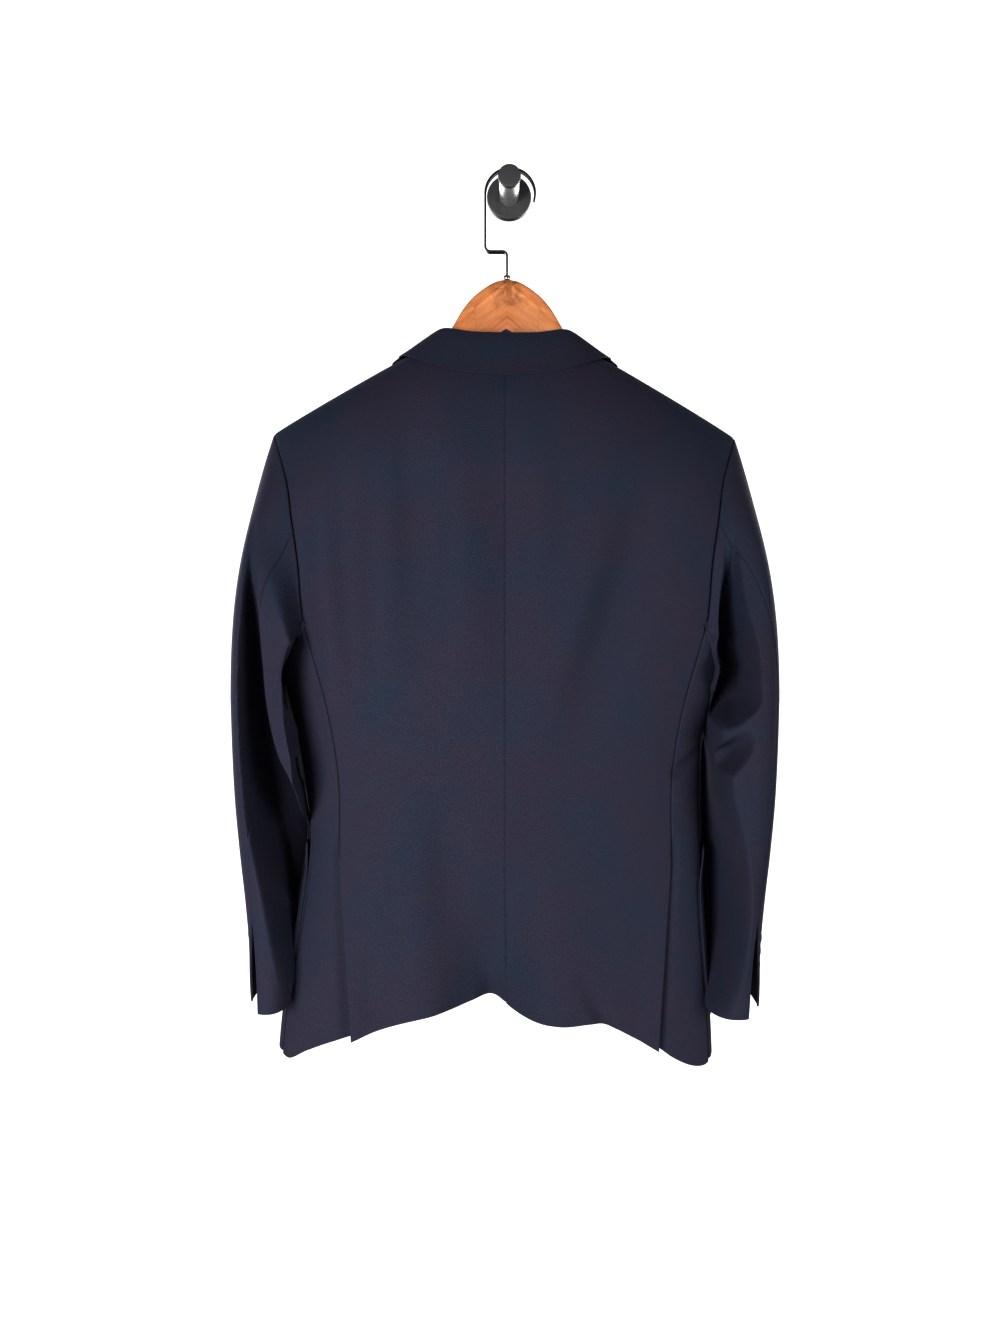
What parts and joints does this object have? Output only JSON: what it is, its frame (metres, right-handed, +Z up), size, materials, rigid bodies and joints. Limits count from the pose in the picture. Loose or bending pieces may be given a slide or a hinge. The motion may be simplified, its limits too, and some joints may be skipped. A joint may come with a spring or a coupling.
{
  "type": "single breasted blazer on a wooden hanger and wall peg",
  "caption": "Dark navy notch-lapel blazer with patch pockets and side vents, hanging with its front to the wall on a wooden hanger from a round wall peg.",
  "frame": {"origin": "centre of the peg plate's back face, where it meets the wall", "axes": "+Y into the wall and +Z up, so that the blazer's back faces -Y and the wearer's left is at -X"},
  "size_m": [0.5339, 0.1362, 0.9145],
  "materials": {
    "navy_wool": "matt fine twill",
    "dark_navy_horn": "polished",
    "stained_wood": "red-brown stain, satin lacquer",
    "black_lacquered_steel": "semi-gloss black",
    "matt_black_metal": "matt black",
    "satin_steel": "satin",
    "nickel_plate": "bright"
  },
  "bodies": {
    "root": {"peg_plate": "matt_black_metal", "peg_shaft": "satin_steel", "peg_cap": "matt_black_metal", "hook": "black_lacquered_steel", "ferrule": "nickel_plate", "hanging_loop": "navy_wool", "collar": "navy_wool", "hanger_left": "stained_wood", "back_left": "navy_wool", "side_left": "navy_wool", "front_left": "navy_wool", "pocket_left": "navy_wool", "lapel_left": "navy_wool", "top_sleeve_left": "navy_wool", "under_sleeve_left": "navy_wool", "cuff_button_left_1": "dark_navy_horn", "cuff_button_left_2": "dark_navy_horn", "cuff_button_left_3": "dark_navy_horn", "cuff_button_left_4": "dark_navy_horn", "hanger_right": "stained_wood", "back_right": "navy_wool", "side_right": "navy_wool", "front_right": "navy_wool", "pocket_right": "navy_wool", "lapel_right": "navy_wool", "top_sleeve_right": "navy_wool", "under_sleeve_right": "navy_wool", "cuff_button_right_1": "dark_navy_horn", "cuff_button_right_2": "dark_navy_horn", "cuff_button_right_3": "dark_navy_horn", "cuff_button_right_4": "dark_navy_horn", "front_button_1": "dark_navy_horn", "front_button_2": "dark_navy_horn"}
  },
  "joints": []
}
